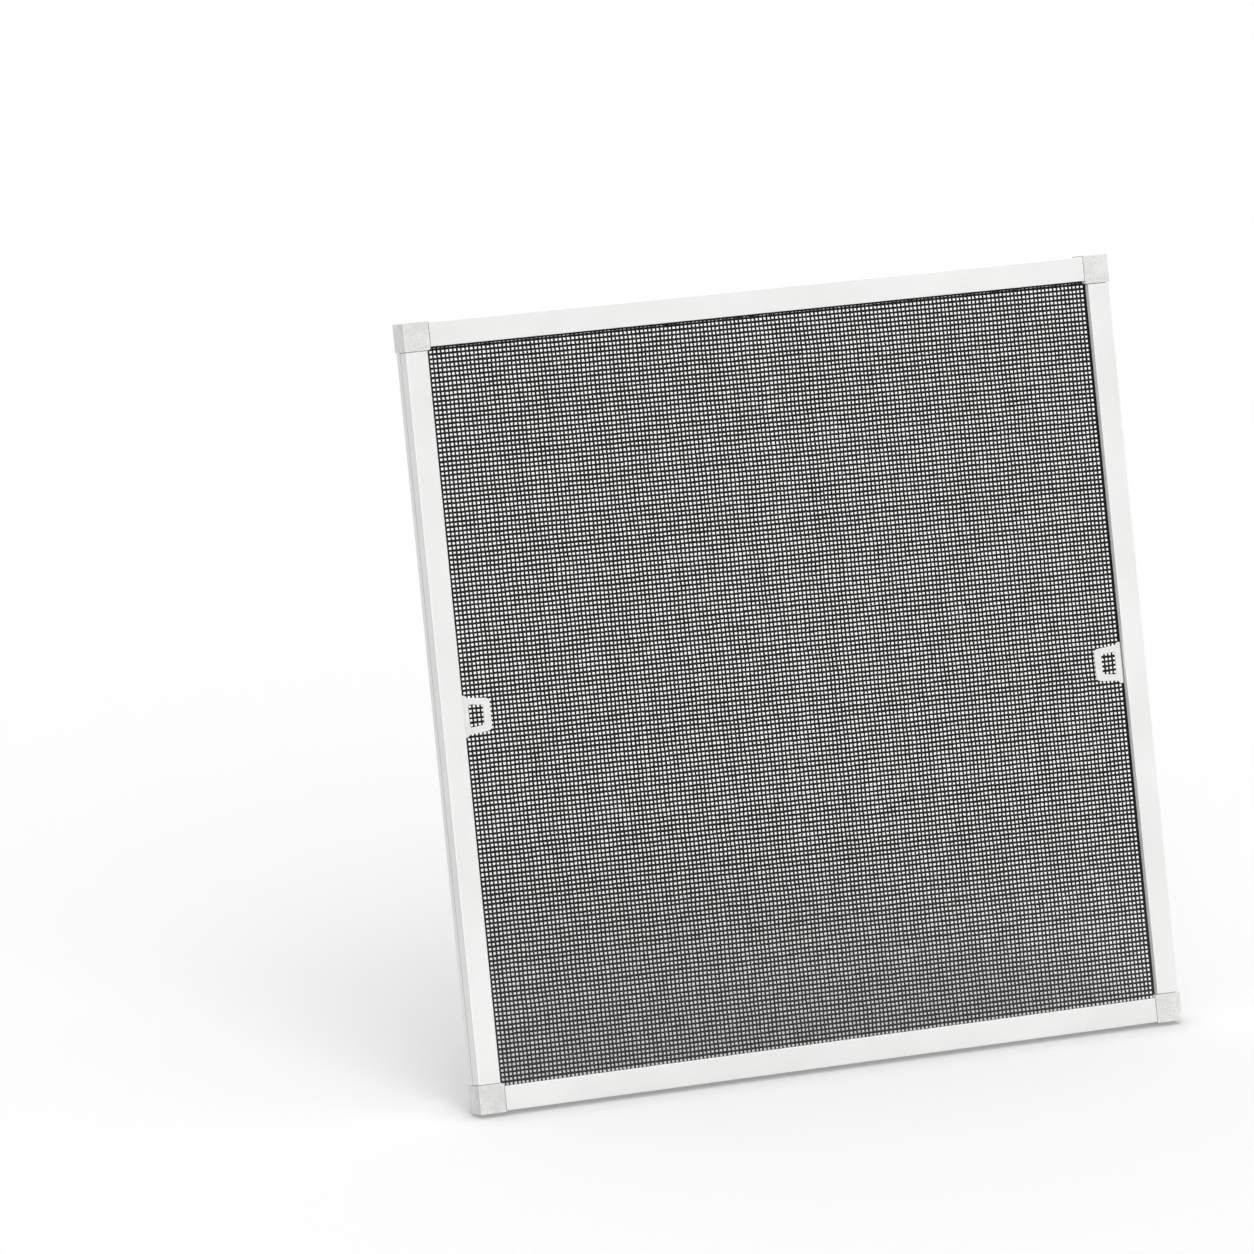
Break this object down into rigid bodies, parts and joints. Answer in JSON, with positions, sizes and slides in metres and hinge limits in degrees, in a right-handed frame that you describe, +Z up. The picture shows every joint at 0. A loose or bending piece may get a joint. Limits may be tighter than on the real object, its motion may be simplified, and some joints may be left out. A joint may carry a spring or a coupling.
{
  "type": "window insect screen",
  "caption": "Rectangular window insect screen: white extruded frame with square moulded corners, dark woven mesh held by a spline, and looped pull tabs at the sides.",
  "frame": {"origin": "bottom centre of the screen, half way through its depth, under the corner pieces", "axes": "+X along the width, +Y from the front (pull tab side) to the back (spline side), +Z up"},
  "size_m": [0.635, 0.0168, 0.61],
  "materials": {
    "frame_coating": "satin",
    "corner_plastic": "matte",
    "tab_plastic": "satin",
    "mesh_cloth": "matte",
    "spline_vinyl": "matte"
  },
  "bodies": {
    "root": {"left_stile": "frame_coating", "bottom_rail": "frame_coating", "right_stile": "frame_coating", "top_rail": "frame_coating", "corner_bottom_left": "corner_plastic", "corner_bottom_right": "corner_plastic", "corner_top_right": "corner_plastic", "corner_top_left": "corner_plastic", "pull_tab_left": "tab_plastic", "pull_tab_right": "tab_plastic", "screen_cloth": "mesh_cloth", "retaining_spline": "spline_vinyl"}
  },
  "joints": []
}
